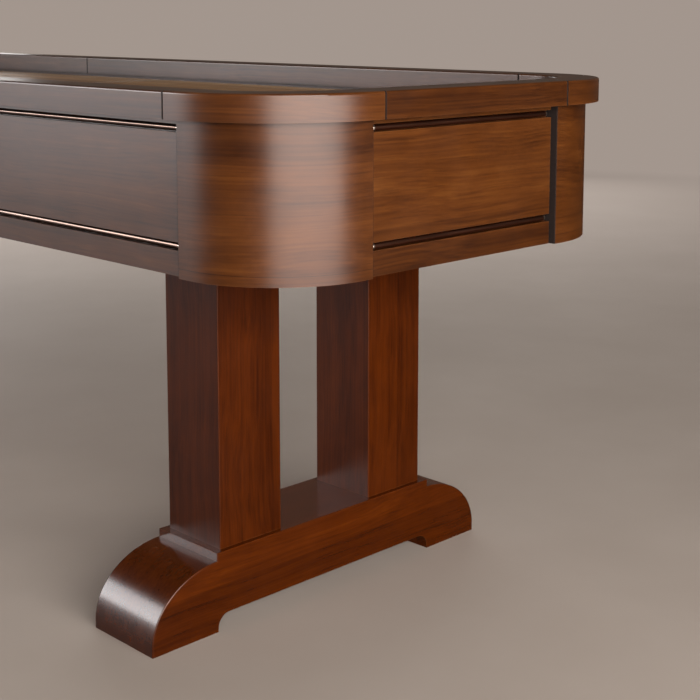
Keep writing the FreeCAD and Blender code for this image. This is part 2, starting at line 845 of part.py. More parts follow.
def top_cleat(end, along):
    """The cleat that ties the tops of two posts together and bolts to the cabinet."""
    label = "top_cleat_" + end
    x = "%d * pedestal_x" % along
    blank = box(label + "_blank", x, "0", "cleat_bottom", "cleat_width", "cleat_length",
                "cleat_thickness")
    tools = []
    for side, across in SIDES.items():
        y = "%d * post_offset" % across
        tools.append(cylinder("%s_%s_hole" % (label, side), x, y, "cleat_bottom - 1",
                              "tie_rod_hole", "cleat_thickness + 2"))
        tools.append(cylinder("%s_%s_pocket" % (label, side), x, y,
                              "cleat_top - tie_rod_pocket_deep", "tie_rod_pocket",
                              "tie_rod_pocket_deep + 1"))
    for index, (bx, by) in enumerate(bolt_places(along)):
        tools.append(cylinder("%s_bolt_%d" % (label, index), bx, by, "cleat_bottom - 1",
                              "bolt_hole", "cleat_thickness + 2"))
    keep(label, cut(label, blank, tools))


def tie_rods():
    """Threaded rods from each trestle through its posts to the cleat, with washers and nuts."""
    pieces = []
    low_seat = "(arch_rise + tie_rod_pocket_deep)"
    high_seat = "(cleat_top - tie_rod_pocket_deep)"
    reach = "(tie_washer_tall + tie_nut_tall + 4)"
    for end, along in ENDS.items():
        x = "%d * pedestal_x" % along
        for side, across in SIDES.items():
            name = "%s_%s" % (side, end)
            y = "%d * post_offset" % across
            pieces.append(cylinder("tie_rod_" + name, x, y, "%s - %s" % (low_seat, reach),
                                   "tie_rod_radius",
                                   "%s - %s + 2 * %s" % (high_seat, low_seat, reach)))
            levels = (
                ("low", low_seat + " - tie_washer_tall",
                 low_seat + " - tie_washer_tall - tie_nut_tall"),
                ("high", high_seat, high_seat + " + tie_washer_tall"),
            )
            for level, washer_z, nut_z in levels:
                tag = "%s_%s" % (name, level)
                disc = cylinder("tie_washer_blank_" + tag, x, y, washer_z, "tie_washer_radius",
                                "tie_washer_tall")
                nut = hexagon("tie_nut_blank_" + tag, x, y, nut_z, "tie_nut_flats", "tie_nut_tall")
                for kind, blank, z in (("washer", disc, washer_z), ("nut", nut, nut_z)):
                    hole = cylinder("tie_%s_hole_%s" % (kind, tag), x, y, z + " - 1",
                                    "tie_rod_radius", "tie_nut_tall + 2")
                    pieces.append(cut("tie_%s_%s" % (kind, tag), blank, [hole]))
    keep("tie_rods", grouped("tie_rods", pieces))


def cabinet_bolts():
    """Hexagon-head bolts up through each cleat into its mounting board."""
    pieces = []
    for end, along in ENDS.items():
        for index, (x, y) in enumerate(bolt_places(along)):
            name = "cabinet_bolt_%s_%d" % (end, index)
            head = hexagon(name + "_head", x, y, "cleat_bottom - bolt_head_tall", "bolt_head_flats",
                           "bolt_head_tall")
            shank = cylinder(name + "_shank", x, y, "cleat_bottom", "bolt_radius",
                             "cleat_thickness + bolt_bite")
            pieces.append(joined(name, [head, shank]))
    keep("cabinet_bolts", grouped("cabinet_bolts", pieces))


# ---------------------------------------------------------------- levelers
def levelers():
    """Screw levelers recessed in the trestle pads: fixed insert, turning stem, sliding glide."""
    inserts = []
    for end, along in ENDS.items():
        x = "%d * pedestal_x" % along
        for side, across in SIDES.items():
            name = "%s_%s" % (side, end)
            y = "%d * leveler_offset" % across
            insert = cylinder("insert_blank_" + name, x, y, "glide_recess_deep", "insert_radius",
                              "insert_tall")
            thread = cylinder("insert_bore_" + name, x, y, "glide_recess_deep - 1",
                              "stem_radius + running_clearance", "insert_tall + 2")
            inserts.append(cut("insert_" + name, insert, [thread]))
            disc = cylinder("glide_disc_" + name, x, y, "glide_clear", "glide_radius", "glide_tall")
            neck = cylinder("glide_neck_" + name, x, y, "glide_clear", "glide_neck_radius",
                            "glide_tall + glide_neck_tall")
            blank = joined("glide_blank_" + name, [disc, neck])
            socket = cylinder("glide_socket_" + name, x, y, "stem_bottom - running_clearance",
                              "stem_radius + running_clearance", "glide_tall + glide_neck_tall")
            keep("leveler_glide_" + name, cut("leveler_glide_" + name, blank, [socket]))
            stem = cylinder("leveler_stem_" + name, x, y, "stem_bottom", "stem_radius",
                            "stem_top - stem_bottom")
            keep("leveler_stem_" + name, stem)
    keep("leveler_inserts", grouped("leveler_inserts", inserts))


# ---------------------------------------------------------------- assembly
def build():
    corner_columns()
    corner_rails()
    straight_rails()
    aprons_and_rods()
    ledgers()
    cross_beams()
    corner_braces()
    gutter_floor()
    gutter_linings()
    cradle()
    playfield()
    for end, along in ENDS.items():
        adjuster_brackets(end, along)
        adjuster_sleeve(end, along)
        trestle_base(end, along)
        posts(end, along)
        top_cleat(end, along)
    adjuster_fasteners()
    tie_rods()
    cabinet_bolts()
    levelers()


def check_and_export():
    """Recompute, refuse any failed object or bad shape, then write one file per sub-part."""
    doc.recompute()
    failed = [item.Name for item in doc.Objects if {"Invalid", "Error"} & set(item.State)]
    bad = [label for label, item in PARTS.items()
           if item.Shape.isNull() or not item.Shape.isValid()]
    if failed or bad:
        raise SystemExit("failed objects: %s; bad shapes: %s" % (failed, bad))
    os.makedirs("parts", exist_ok=True)
    for label, item in PARTS.items():
        item.Shape.exportStep("parts/%s.step" % label)
        solids, volume = len(item.Shape.Solids), item.Shape.Volume
        print("%-28s solids %2d  volume %10.0f mm3" % (label, solids, volume))
    print("%d sub-parts" % len(PARTS))


build()
check_and_export()
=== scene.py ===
"""Looks for the shuffleboard table: stained cherry, laminated maple, bronze rods, gutter carpet."""
import math

import bpy
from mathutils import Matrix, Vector, noise


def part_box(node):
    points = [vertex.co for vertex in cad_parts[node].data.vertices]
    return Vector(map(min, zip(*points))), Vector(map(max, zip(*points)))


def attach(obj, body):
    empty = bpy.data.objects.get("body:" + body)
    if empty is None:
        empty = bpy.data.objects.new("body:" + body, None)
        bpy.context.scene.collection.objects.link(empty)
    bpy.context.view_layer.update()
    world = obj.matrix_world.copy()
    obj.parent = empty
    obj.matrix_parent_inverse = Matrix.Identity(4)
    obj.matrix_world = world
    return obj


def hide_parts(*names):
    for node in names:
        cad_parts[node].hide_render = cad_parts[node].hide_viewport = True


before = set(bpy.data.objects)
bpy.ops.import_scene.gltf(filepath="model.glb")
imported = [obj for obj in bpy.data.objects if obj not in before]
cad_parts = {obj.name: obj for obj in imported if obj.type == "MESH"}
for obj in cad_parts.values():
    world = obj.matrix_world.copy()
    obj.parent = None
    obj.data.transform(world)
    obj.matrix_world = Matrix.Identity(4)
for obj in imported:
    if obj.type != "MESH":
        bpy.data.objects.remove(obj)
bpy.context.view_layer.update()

MM = 0.001

# ---------------------------------------------------------------- places read from the frame
PLAYFIELD_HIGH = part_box("playfield")[1]
CARPET_LOW, CARPET_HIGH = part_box("gutter_carpet")
LINING_LOW, LINING_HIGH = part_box("wall_lining")
COLUMN_LOW, COLUMN_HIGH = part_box("corner_column_back_right")
CRADLE_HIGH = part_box("playfield_cradle")[1]
ROD_END_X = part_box("accent_rods_front")[1][0]
ROD_END_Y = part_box("accent_rods_right")[1][1]

COLUMN_RADIUS = 155 * MM
WALL_RADIUS = 123.5 * MM
CURVE_X = COLUMN_HIGH[0] - COLUMN_RADIUS
CURVE_Y = COLUMN_HIGH[1] - COLUMN_RADIUS
COLUMN_SEAM = COLUMN_LOW[2] + 13 * MM

# Where boards are sawn across: axis, distance from the table's middle, reach of the dark end.
# The dark ends stand for dark end grain and for painted shade in the gaps between parts.
COLUMN_END_REACH, RAIL_END_REACH = 1.2 * MM, 1.6 * MM
COLUMN_ENDS = (("X", COLUMN_LOW[0], COLUMN_END_REACH), ("Y", COLUMN_LOW[1], COLUMN_END_REACH))
RAIL_ENDS = (("X", 0.0, RAIL_END_REACH),
             ("X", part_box("side_rail_back_right")[1][0], RAIL_END_REACH),
             ("Y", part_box("end_rail_right")[1][1], RAIL_END_REACH))


# ---------------------------------------------------------------- shader writing
BOARD_SPREAD = 3.0  # metres of grain space over which boards are dealt out


class Nodes:
    """A node tree under construction, with short calls for the nodes that are used most."""

    def __init__(self, tree):
        self.tree = tree
        self.tree.nodes.clear()

    def join(self, source, target):
        self.tree.links.new(source, target)

    def node(self, kind, inputs=None, **settings):
        """Add a node; each input is a number, a colour or another node's output."""
        made = self.tree.nodes.new(kind)
        for name, value in settings.items():
            setattr(made, name, value)
        for key, value in (inputs or {}).items():
            if isinstance(value, bpy.types.NodeSocket):
                self.join(value, made.inputs[key])
            else:
                made.inputs[key].default_value = value
        return made

    def math(self, operation, first, second=0.0, third=0.0, clamp=False):
        return self.node("ShaderNodeMath", {0: first, 1: second, 2: third},
                         operation=operation, use_clamp=clamp).outputs[0]

    def vector_math(self, operation, first, second, output="Vector"):
        return self.node("ShaderNodeVectorMath", {0: first, 1: second},
                         operation=operation).outputs[output]

    def split(self, vector):
        parts = self.node("ShaderNodeSeparateXYZ", {0: vector}).outputs
        return parts["X"], parts["Y"], parts["Z"]

    def vector(self, x, y, z):
        return self.node("ShaderNodeCombineXYZ", {"X": x, "Y": y, "Z": z}).outputs[0]

    def remap(self, value, low, high, to_low=0.0, to_high=1.0):
        inputs = {"Value": value, "From Min": low, "From Max": high,
                  "To Min": to_low, "To Max": to_high}
        return self.node("ShaderNodeMapRange", inputs).outputs[0]


class Shader(Nodes):
    """A material under construction: what the finishes share."""

    def __init__(self, name):
        self.material = bpy.data.materials.new(name)
        self.material.use_nodes = True
        super().__init__(self.material.node_tree)
        self.surface = self.node("ShaderNodeBsdfPrincipled")
        self.output = self.node("ShaderNodeOutputMaterial",
                                {"Surface": self.surface.outputs["BSDF"]})

    def object_point(self):
        """The point in the object's own frame, which is the table's frame."""
        return self.node("ShaderNodeTexCoord").outputs["Object"]

    def board_offset(self):
        """A different number for each board, so that no two share one figure."""
        own_number = self.node("ShaderNodeObjectInfo").outputs["Random"]
        return self.math("MULTIPLY", own_number, BOARD_SPREAD)

    def geometry(self, output):
        return self.node("ShaderNodeNewGeometry").outputs[output]

    def noise(self, vector, per_metre, detail=3.0, rough=0.55, distortion=0.0):
        """Noise whose features are counted per metre along each of the vector's axes."""
        inputs = {"Vector": self.vector_math("MULTIPLY", vector, per_metre), "Scale": 1.0,
                  "Detail": detail, "Roughness": rough, "Distortion": distortion}
        return self.node("ShaderNodeTexNoise", inputs).outputs["Fac"]

    def random(self, number):
        """A random value that stays the same for the same number."""
        return self.node("ShaderNodeTexWhiteNoise", {"W": number},
                         noise_dimensions="1D").outputs["Value"]

    def ramp(self, value, stops):
        """A colour ramp; stops are (position, (r, g, b))."""
        made = self.node("ShaderNodeValToRGB", {"Fac": value})
        elements = made.color_ramp.elements
        while len(elements) < len(stops):
            elements.new(0.5)
        for element, (position, colour) in zip(elements, stops):
            element.position = position
            element.color = (*colour, 1)
        return made.outputs["Color"]

    def mix(self, factor, first, second, blend="MIX"):
        """Blend two colours. The node's colour sockets are inputs 6 and 7 and output 2."""
        made = self.node("ShaderNodeMix", data_type="RGBA", blend_type=blend)
        for index, value in ((0, factor), (6, first), (7, second)):
            socket = made.inputs[index]
            if isinstance(value, bpy.types.NodeSocket):
                self.join(value, socket)
            else:
                socket.default_value = value if isinstance(value, float) else (*value, 1)
        return made.outputs[2]

    def edge_mask(self, radius=1.6 * MM):
        """About 1 on crisp edges and 0 on open faces."""
        soft = self.node("ShaderNodeBevel", {"Radius": radius}, samples=4).outputs["Normal"]
        same = self.vector_math("DOT_PRODUCT", soft, self.geometry("Normal"), "Value")
        return self.remap(same, 0.985, 0.90)

    def bump(self, heights, distance):
        """Raise the surface by a height signal, by at most a distance in metres."""
        inputs = {"Height": heights, "Distance": distance, "Strength": 1.0}
        return self.node("ShaderNodeBump", inputs).outputs[0]

    def finish(self, colour, roughness, normal=None, **plain):
        """Connect colour, roughness and normal; plain numbers go on the shader's own sockets."""
        for name, value in (("Base Color", colour), ("Roughness", roughness), ("Normal", normal)):
            if isinstance(value, bpy.types.NodeSocket):
                self.join(value, self.surface.inputs[name])
            elif value is not None:
                self.surface.inputs[name].default_value = value
        for name, value in plain.items():
            socket = name.replace("_", " ").title().replace("Ior", "IOR")
            self.surface.inputs[socket].default_value = value
        return self.material


# ---------------------------------------------------------------- wood
# Every roughness range lies wholly below 0.27 or above 0.28. The denoiser treats the two sides
# differently, and a finish that crosses over renders with squiggly contours.
CHERRY = ((0.0, (0.011, 0.0024, 0.0004)), (0.30, (0.042, 0.0104, 0.0013)),
          (0.60, (0.104, 0.0300, 0.0044)), (0.85, (0.172, 0.0590, 0.0106)),
          (1.0, (0.235, 0.0900, 0.0190)))
# Near black: stain in pores and seams, and painted shade on end faces in the gaps between parts.
DARK_STAIN_AND_SHADE = (0.010, 0.0022, 0.0006)
# Lighter colour on edges: rubbed wear and a painted edge highlight.
RUBBED_EDGE_AND_HIGHLIGHT = (0.24, 0.095, 0.035)
# The tint for posts and trestle makes the same cherry darker and warmer: painted shade under the
# cabinet.
NEUTRAL, WARMER_SHADE_UNDER_CABINET = (1, 1, 1), (0.86, 0.55, 0.15)
LAMELLA = 90 * MM
LAMELLA_SHIFT = 21 * MM
SEAM_REACH = 0.4 * MM
GRAIN_SWING = 14 * MM

SOFTWOOD_LIGHT, SOFTWOOD_DARK = (0.58, 0.43, 0.26), (0.38, 0.24, 0.12)
SOFTWOOD_EDGE = (0.72, 0.60, 0.44)

BIRCH = ((0.3, (0.42, 0.29, 0.17)), (0.7, (0.60, 0.45, 0.29)))
PLY_EDGE = (0.26, 0.16, 0.085)
PLY_PAIR = 2.4 * MM

MAPLE = ((0.0, (0.20, 0.080, 0.024)), (0.35, (0.40, 0.205, 0.075)),
         (0.7, (0.58, 0.35, 0.160)), (1.0, (0.72, 0.50, 0.28)))
MAPLE_GLUE = (0.10, 0.045, 0.018)
STRIP_WIDTH = 25.4 * MM
STRIPS_START = 0.254
STAVE_LENGTH = 0.52
STAVE_STAGGER = 7.0  # stave lengths over which the rows' joints are scattered
STAVE_SPREAD = 19.0  # metres of grain space over which staves are dealt out


def along_axis(shader, axis):
    """Grain space for a straight board: its first coordinate runs along the grain."""
    x, y, z = shader.split(shader.object_point())
    along, across, up = {"X": (x, y, z), "Y": (y, x, z), "Z": (z, x, y)}[axis]
    offset = shader.board_offset()
    return shader.vector(shader.math("ADD", along, offset), shader.math("ADD", across, offset), up)


def straight(axis):
    return lambda shader: along_axis(shader, axis)


def around_corner(shader):
    """Grain space for the curved corners: along the arc, then out from its centre, then up."""
    x, y, z = shader.split(shader.object_point())
    u = shader.math("SUBTRACT", shader.math("ABSOLUTE", x), CURVE_X)
    v = shader.math("SUBTRACT", shader.math("ABSOLUTE", y), CURVE_Y)
    u_out, v_out = shader.math("MAXIMUM", u, 0.0), shader.math("MAXIMUM", v, 0.0)
    u_run, v_run = shader.math("MINIMUM", u, 0.0), shader.math("MINIMUM", v, 0.0)
    out = shader.math("SQRT", shader.math("ADD", shader.math("MULTIPLY", u_out, u_out),
                                          shader.math("MULTIPLY", v_out, v_out)))
    arc = shader.math("MULTIPLY", shader.math("ARCTAN2", v_out, u_out), COLUMN_RADIUS)
    along = shader.math("SUBTRACT", shader.math("ADD", arc, v_run), u_run)
    return shader.vector(shader.math("ADD", along, shader.board_offset()), out, z)


def sawn_ends_and_gap_shade(shader, planes):
    """1 close to the planes where boards are sawn across, counted from the table's middle."""
    x, y, _ = shader.split(shader.object_point())
    found = 0.0
    for axis, place, reach in planes:
        away = shader.math("ABSOLUTE", {"X": x, "Y": y}[axis])
        found = shader.math("MAXIMUM", shader.math("COMPARE", away, place, reach), found)
    return found


def stained_wood(name, grain_space, tone_shift=0.0, gloss=0.31, tint=NEUTRAL, specular=0.5,
                 coat=0.35, figure=0.8, seam_height=None, ends=None):
    """Stained, lacquered cherry: glued boards, growth lines, clouds, pores and rubbed edges with a
    painted highlight.
    """
    shader = Shader(name)
    point = grain_space(shader)
    drift = shader.noise(point, (2.1, 6, 6), detail=2)
    swing = shader.remap(drift, 0.25, 0.75, -GRAIN_SWING, GRAIN_SWING)
    bent = shader.vector_math("ADD", point, shader.vector(0.0, swing, swing))
    up = shader.math("ADD", shader.split(point)[2], LAMELLA_SHIFT)
    board = shader.math("FLOOR", shader.math("DIVIDE", up, LAMELLA))
    board_tone = shader.random(shader.math("ADD", board, shader.board_offset()))
    bands = shader.noise(bent, (0.5, 42, 42))
    lines = shader.noise(bent, (1.1, 300, 300), detail=2, rough=0.6)
    clouds = shader.noise(point, (16, 30, 30), rough=0.6, distortion=0.3)
    pores = shader.noise(point, (14, 400, 400), detail=1, rough=0.5)

    tone = shader.math("ADD", shader.remap(bands, 0.30, 0.70, 0.36, 0.64),
                       shader.remap(lines, 0.30, 0.70, -0.12, 0.12))
    tone = shader.math("ADD", tone, shader.remap(clouds, 0.30, 0.70, -0.07, 0.07))
    board_shift = shader.remap(board_tone, 0.0, 1.0, tone_shift - 0.10, tone_shift + 0.10)
    tone = shader.math("ADD", tone, board_shift, clamp=True)
    tone = shader.remap(tone, 0.0, 1.0, 0.5 - 0.5 * figure, 0.5 + 0.5 * figure)
    pore_mask = shader.remap(pores, 0.60, 0.74)
    colour = shader.mix(shader.math("MULTIPLY", pore_mask, 0.28), shader.ramp(tone, CHERRY),
                        DARK_STAIN_AND_SHADE)
    colour = shader.mix(1.0, colour, tint, "MULTIPLY")
    # Edges go lighter: partly rubbed wear, partly a painted highlight along the edges.
    rub_and_highlight = shader.math("MULTIPLY", shader.edge_mask(), shader.remap(clouds, 0.35, 0.65, 0.10, 0.45))
    colour = shader.mix(rub_and_highlight, colour, RUBBED_EDGE_AND_HIGHLIGHT)
    if seam_height is not None:
        height = shader.split(shader.object_point())[2]
        seam = shader.math("COMPARE", height, seam_height, SEAM_REACH)
        colour = shader.mix(shader.math("MULTIPLY", seam, 0.7), colour, DARK_STAIN_AND_SHADE)

    wear = shader.noise(shader.object_point(), (11, 11, 11), detail=4)
    roughness = shader.remap(wear, 0.3, 0.7, gloss - 0.025, gloss + 0.045)
    if ends is not None:
        # Sawn ends go near black: dark end grain, and painted shade in the gaps between parts.
        end_grain_and_shade = sawn_ends_and_gap_shade(shader, ends)
        colour = shader.mix(end_grain_and_shade, colour, DARK_STAIN_AND_SHADE)
        roughness = shader.math("MAXIMUM", roughness, end_grain_and_shade)
    heights = shader.math("SUBTRACT", shader.math("MULTIPLY", lines, 0.6),
                          shader.math("MULTIPLY", pore_mask, 0.4))
    return shader.finish(colour, roughness, shader.bump(heights, 0.008 * MM),
                         specular_ior_level=specular, coat_weight=coat, coat_roughness=0.18,
                         coat_ior=1.5)


def raw_wood(name, axis):
    """Planed, unfinished softwood for what is hidden under the cabinet."""
    shader = Shader(name)
    point = along_axis(shader, axis)
    rings = shader.noise(point, (0.9, 26, 26), detail=4, rough=0.6, distortion=0.4)
    fibres = shader.noise(point, (12, 700, 700))
    tone = shader.math("ADD", shader.remap(rings, 0.3, 0.7, 0.0, 0.75),
                       shader.remap(fibres, 0.3, 0.7, 0.0, 0.25))
    colour = shader.mix(tone, SOFTWOOD_DARK, SOFTWOOD_LIGHT)
    colour = shader.mix(shader.math("MULTIPLY", shader.edge_mask(), 0.4), colour, SOFTWOOD_EDGE)
    roughness = shader.remap(fibres, 0.3, 0.7, 0.62, 0.82)
    return shader.finish(colour, roughness, shader.bump(fibres, 0.12 * MM),
                         specular_ior_level=0.35)


def plywood(name):
    """Birch plywood: faint face figure, with plies showing on the cut edges."""
    shader = Shader(name)
    face = shader.noise(along_axis(shader, "X"), (1.4, 22, 60), detail=4, distortion=0.6)
    height = shader.split(shader.object_point())[2]
    pair = shader.math("FRACT", shader.math("MULTIPLY", height, 1 / PLY_PAIR))
    dark_ply = shader.math("GREATER_THAN", pair, 0.5)
    normal_z = shader.split(shader.geometry("Normal"))[2]
    on_edge = shader.math("LESS_THAN", shader.math("ABSOLUTE", normal_z), 0.5)
    colour = shader.mix(shader.math("MULTIPLY", dark_ply, on_edge), shader.ramp(face, BIRCH),
                        PLY_EDGE)
    roughness = shader.remap(face, 0.3, 0.7, 0.55, 0.75)
    return shader.finish(colour, roughness, shader.bump(face, 0.10 * MM), specular_ior_level=0.4)


def maple_strips(name):
    """Glued maple strips, each of its own tone and broken into staves, under a clear finish."""
    shader = Shader(name)
    x, y, z = shader.split(shader.object_point())
    rows = shader.math("DIVIDE", shader.math("ADD", y, STRIPS_START), STRIP_WIDTH)
    row = shader.math("FLOOR", rows)
    staves = shader.math("ADD", shader.math("DIVIDE", x, STAVE_LENGTH),
                         shader.math("MULTIPLY", shader.random(row), STAVE_STAGGER))
    cell = shader.vector(shader.math("FLOOR", staves), row, 0.0)
    pick = shader.node("ShaderNodeTexWhiteNoise", {"Vector": cell},
                       noise_dimensions="3D").outputs["Value"]
    offset = shader.math("MULTIPLY", pick, STAVE_SPREAD)
    point = shader.vector(shader.math("ADD", x, offset), y, z)
    figure = shader.noise(point, (1.6, 30, 30), detail=4, distortion=0.5)
    fibres = shader.noise(point, (9, 420, 420))
    tone = shader.math("ADD", shader.remap(pick, 0.0, 1.0, 0.0, 0.62),
                       shader.remap(figure, 0.3, 0.7, 0.0, 0.30))
    tone = shader.math("ADD", tone, shader.remap(fibres, 0.3, 0.7, -0.04, 0.10), clamp=True)
    glue = shader.math("LESS_THAN", shader.math("FRACT", rows), 0.018)
    butt = shader.math("LESS_THAN", shader.math("FRACT", staves), 0.0016)
    joint = shader.math("MULTIPLY", shader.math("MAXIMUM", glue, butt), 0.6)
    colour = shader.mix(joint, shader.ramp(tone, MAPLE), MAPLE_GLUE)
    worn = shader.noise(shader.object_point(), (2.2, 9, 9), detail=4)
    roughness = shader.remap(worn, 0.3, 0.7, 0.34, 0.48)
    return shader.finish(colour, roughness, shader.bump(fibres, 0.02 * MM),
                         specular_ior_level=0.18)


# ---------------------------------------------------------------- metal, plastic, carpet, print
ZINC, BRASS, BLACK_COAT = (0.62, 0.62, 0.60), (0.66, 0.46, 0.18), (0.035, 0.035, 0.037)
# One bronze in two colours: the short rods' redder colour is a painted reflection of the wood
# around them.
BRONZE_LONG, BRONZE_SHORT_WOOD_REFLECTION = (0.135, 0.092, 0.074), (0.21, 0.095, 0.062)
# Rod ends: polished metal, lightened also as a painted highlight.
POLISHED_TIP_AND_HIGHLIGHT = (0.46, 0.40, 0.35)
TIP_LENGTH = 6 * MM
NYLON = ((0.35, (0.018, 0.018, 0.019)), (0.75, (0.050, 0.048, 0.046)))
PILE = ((0.0, (0.006, 0.006, 0.007)), (1.0, (0.060, 0.055, 0.052)))
TUFTS_PER_METRE = 430.0
RED_INK, BLACK_INK = (0.62, 0.035, 0.030), (0.012, 0.011, 0.011)
WOOD_UNDER_INK = (0.36, 0.20, 0.10)


def metal(name, colour, roughness, brushed, metallic=1.0, grain=(60, 60, 60), pits=0.02 * MM,
          tips=None):
    """Plated or painted metal, with handling marks and rubbed edges; tips are polished ends,
    lighter also as a painted highlight.
    """
    shader = Shader(name)
    marks = shader.noise(shader.object_point(), grain, detail=4, rough=0.6)
    clouds = shader.noise(shader.object_point(), (19, 19, 19))
    tone = shader.math("ADD", shader.remap(marks, 0.3, 0.7, 0.80, 1.12),
                       shader.remap(clouds, 0.3, 0.7, -0.1, 0.1))
    base = shader.mix(1.0, shader.vector(tone, tone, tone), colour, "MULTIPLY")
    bright = tuple(min(1.0, part * 1.8 + 0.03) for part in colour)
    base = shader.mix(shader.math("MULTIPLY", shader.edge_mask(0.6 * MM), 0.5), base, bright)
    # Polished tips, lighter also as a painted highlight on the rod ends.
    if tips is not None:
        axis, reach = tips
        along = shader.math("ABSOLUTE", shader.split(shader.object_point())["XYZ".index(axis)])
        base = shader.mix(shader.math("GREATER_THAN", along, reach - TIP_LENGTH), base,
                          POLISHED_TIP_AND_HIGHLIGHT)
    level = shader.remap(marks, 0.3, 0.7, roughness - brushed, roughness + brushed)
    return shader.finish(base, level, shader.bump(marks, pits), metallic=metallic,
                         specular_ior_level=0.5)


def nylon(name):
    """Moulded black nylon with a fine spark texture."""
    shader = Shader(name)
    spark = shader.noise(shader.object_point(), (1800, 1800, 1800), detail=2)
    scuff = shader.noise(shader.object_point(), (90, 90, 90), detail=4)
    return shader.finish(shader.ramp(scuff, NYLON), shader.remap(scuff, 0.3, 0.7, 0.42, 0.62),
                         shader.bump(spark, 0.05 * MM))


def carpet(name):
    """Short cut pile: tufts in a loose grid, darker between them."""
    shader = Shader(name)
    point = shader.object_point()
    tufts = shader.node("ShaderNodeTexVoronoi",
                        {"Vector": point, "Scale": TUFTS_PER_METRE}).outputs["Distance"]
    fluff = shader.noise(point, (2600, 2600, 2600), detail=2)
    nap = shader.noise(point, (14, 14, 14))
    tone = shader.math("ADD", shader.remap(tufts, 0.0, 0.7, 0.75, 0.10),
                       shader.remap(fluff, 0.3, 0.7, -0.1, 0.2))
    tone = shader.math("ADD", tone, shader.remap(nap, 0.3, 0.7, -0.10, 0.12), clamp=True)
    heights = shader.math("SUBTRACT", fluff, shader.math("MULTIPLY", tufts, 1.5))
    return shader.finish(shader.ramp(tone, PILE), shader.remap(nap, 0.3, 0.7, 0.86, 0.98),
                         shader.bump(heights, 0.6 * MM), sheen_weight=0.35, sheen_roughness=0.5,
                         specular_ior_level=0.15)


def printed(name, colour):
    """Ink printed on the playfield under its gloss, slightly thinned by play."""
    shader = Shader(name)
    thin = shader.noise(shader.object_point(), (40, 160, 160), detail=4)
    base = shader.mix(shader.remap(thin, 0.52, 0.75, 0.0, 0.35), colour, WOOD_UNDER_INK)
    return shader.finish(base, shader.remap(thin, 0.3, 0.7, 0.14, 0.24), coat_weight=0.7,
                         coat_roughness=0.07)


def paint_nodes():
    """Give every CAD node that shows its finished material."""
    lacquer = {"specular": 0.58, "coat": 0.0}
    rail_x = stained_wood("rail_cherry_along_x", straight("X"), tone_shift=-0.04,
                          ends=RAIL_ENDS, **lacquer)
    rail_y = stained_wood("rail_cherry_along_y", straight("Y"), ends=RAIL_ENDS, **lacquer)
    rail_curved = stained_wood("rail_cherry_curved", around_corner, ends=RAIL_ENDS, **lacquer)
    column = stained_wood("column_cherry", around_corner, seam_height=COLUMN_SEAM,
                          ends=COLUMN_ENDS, **lacquer)
    apron_x = stained_wood("apron_cherry_along_x", straight("X"), tone_shift=-0.04)
    apron_y = stained_wood("apron_cherry_along_y", straight("Y"))
    # Posts and trestle take the darker, warmer tint as painted shade under the cabinet.
    upright = stained_wood("post_cherry", straight("Z"), gloss=0.32, tint=WARMER_SHADE_UNDER_CABINET, specular=0.20,
                           coat=0.0, figure=0.7)
    trestle = stained_wood("trestle_cherry", straight("Y"), gloss=0.215, tint=WARMER_SHADE_UNDER_CABINET,
                           specular=0.38, coat=0.20, figure=0.6)
    frame_x, frame_y = raw_wood("frame_softwood_x", "X"), raw_wood("frame_softwood_y", "Y")
    ply = plywood("birch_plywood")
    zinc = metal("zinc_plate", ZINC, 0.37, 0.08)
    black = metal("black_powder_coat", BLACK_COAT, 0.48, 0.06, metallic=0.0,
                  grain=(900, 900, 900), pits=0.06 * MM)
    bronze_x = metal("bronze_rod_x", BRONZE_LONG, 0.20, 0.05, grain=(12, 420, 420),
                     tips=("X", ROD_END_X))
    # The end rods' redder bronze is a painted reflection of the wood.
    bronze_y_wood_reflection = metal("bronze_rod_y", BRONZE_SHORT_WOOD_REFLECTION, 0.33, 0.04, grain=(420, 12, 420),
                     tips=("Y", ROD_END_Y))
    brass = metal("plain_brass", BRASS, 0.35, 0.06)
    # The first start that fits a node's name counts, so longer names come before shorter ones.
    by_start = (
        ("side_rail", rail_x), ("end_rail", rail_y), ("corner_rail", rail_curved),
        ("corner_column", column), ("side_apron", apron_x), ("end_apron", apron_y),
        ("post", upright), ("trestle_base", trestle), ("wall_ledgers", frame_x),
        ("playfield_cradle", frame_x), ("playfield_risers", frame_y), ("cross_beam", frame_y),
        ("mount_board", frame_y), ("top_cleat", frame_y), ("corner_braces", frame_y),
        ("gutter_floor", ply), ("playfield", maple_strips("maple_strips")),
        ("accent_rods_front", bronze_x), ("accent_rods_back", bronze_x),
        ("accent_rods", bronze_y_wood_reflection), ("adjuster_brackets", black), ("adjuster", zinc),
        ("tie_rods", zinc), ("cabinet_bolts", zinc), ("leveler_inserts", brass),
        ("leveler_stem", zinc), ("leveler_glide", nylon("black_nylon")),
    )
    for name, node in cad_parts.items():
        finish = next((material for start, material in by_start if name.startswith(start)), None)
        for material_slot in node.material_slots:
            if finish:
                material_slot.material = finish


# ---------------------------------------------------------------- meshes
CARPET_SPACING = 14 * MM
CARPET_GAP = 0.2 * MM
PILE_BELOW_TOP = 0.3 * MM
LAID_ROWS, LAID_THICKNESS, LAID_ROLL = 7, 2.4 * MM, 0.28 * MM
LINING_ROWS, LINING_THICKNESS, LINING_ROLL = 6, 3 * MM, 0.25 * MM
LINING_BODY = 2.6 * MM
ROLLS_PER_METRE = 60


def mesh_object(name, mesh, material, smooth=False):
    mesh.materials.append(material)
    for face in mesh.polygons:
        face.use_smooth = smooth
    piece = bpy.data.objects.new(name, mesh)
    bpy.context.scene.collection.objects.link(piece)
    return piece


